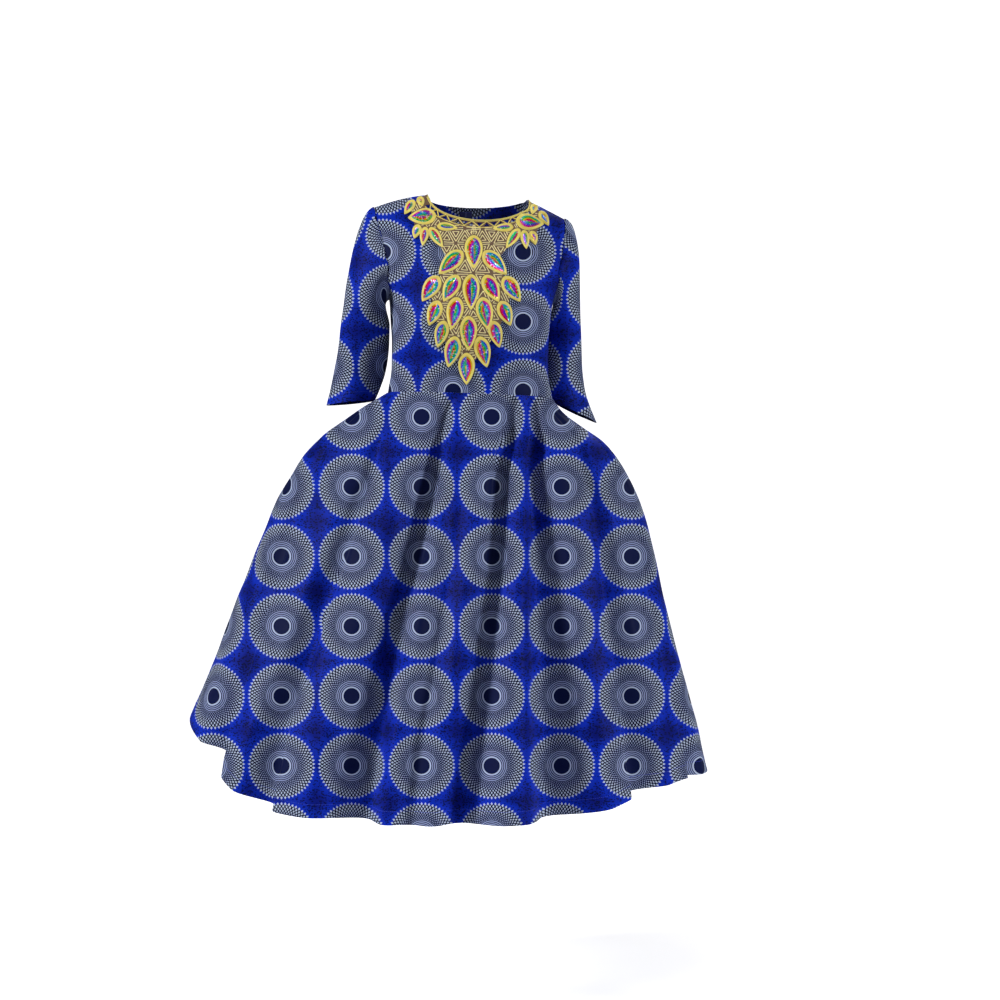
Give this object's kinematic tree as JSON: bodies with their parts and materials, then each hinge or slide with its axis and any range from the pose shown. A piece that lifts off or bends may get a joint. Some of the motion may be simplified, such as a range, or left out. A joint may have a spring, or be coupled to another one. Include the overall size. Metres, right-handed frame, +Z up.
{
  "type": "midi dress",
  "caption": "Worn wax-print midi dress with three-quarter sleeves, pleated full skirt, side pockets and a sequined lace neck applique.",
  "frame": {"origin": "midway between the high points of the shoulder seams, where the dress hangs on its wearer", "axes": "+Z up along the body, -Y out of the front, +X to the right as seen from the front"},
  "size_m": [1.0006, 0.7763, 1.1775],
  "materials": {
    "wax_cotton": "royal blue cotton, wax-printed with pale concentric discs, slightly glazed",
    "sequin_lace": "gold cord and net lace filled with many-coloured sequins",
    "zip_tape": "woven blue zip tape",
    "zip_metal": "blue enamelled zip slider and pull"
  },
  "bodies": {
    "dress": {"bodice_front": "wax_cotton", "bodice_back_left": "wax_cotton", "bodice_back_right": "wax_cotton", "sleeve_left": "wax_cotton", "sleeve_right": "wax_cotton", "skirt_front": "wax_cotton", "skirt_back_left": "wax_cotton", "skirt_back_right": "wax_cotton", "pocket_left": "wax_cotton", "pocket_right": "wax_cotton", "neck_applique": "sequin_lace", "zip_tape": "zip_tape", "zip_slider": "zip_metal"},
    "pull": {"zip_pull": "zip_metal"}
  },
  "joints": [
    {"name": "zip_pull_swing", "type": "hinge", "parent": "dress", "child": "pull", "pos_m": [-0.02818, 0.05935, -0.02374], "axis": [0.9904, 0.1384, 0.0007], "range_deg": [0, 150]}
  ]
}
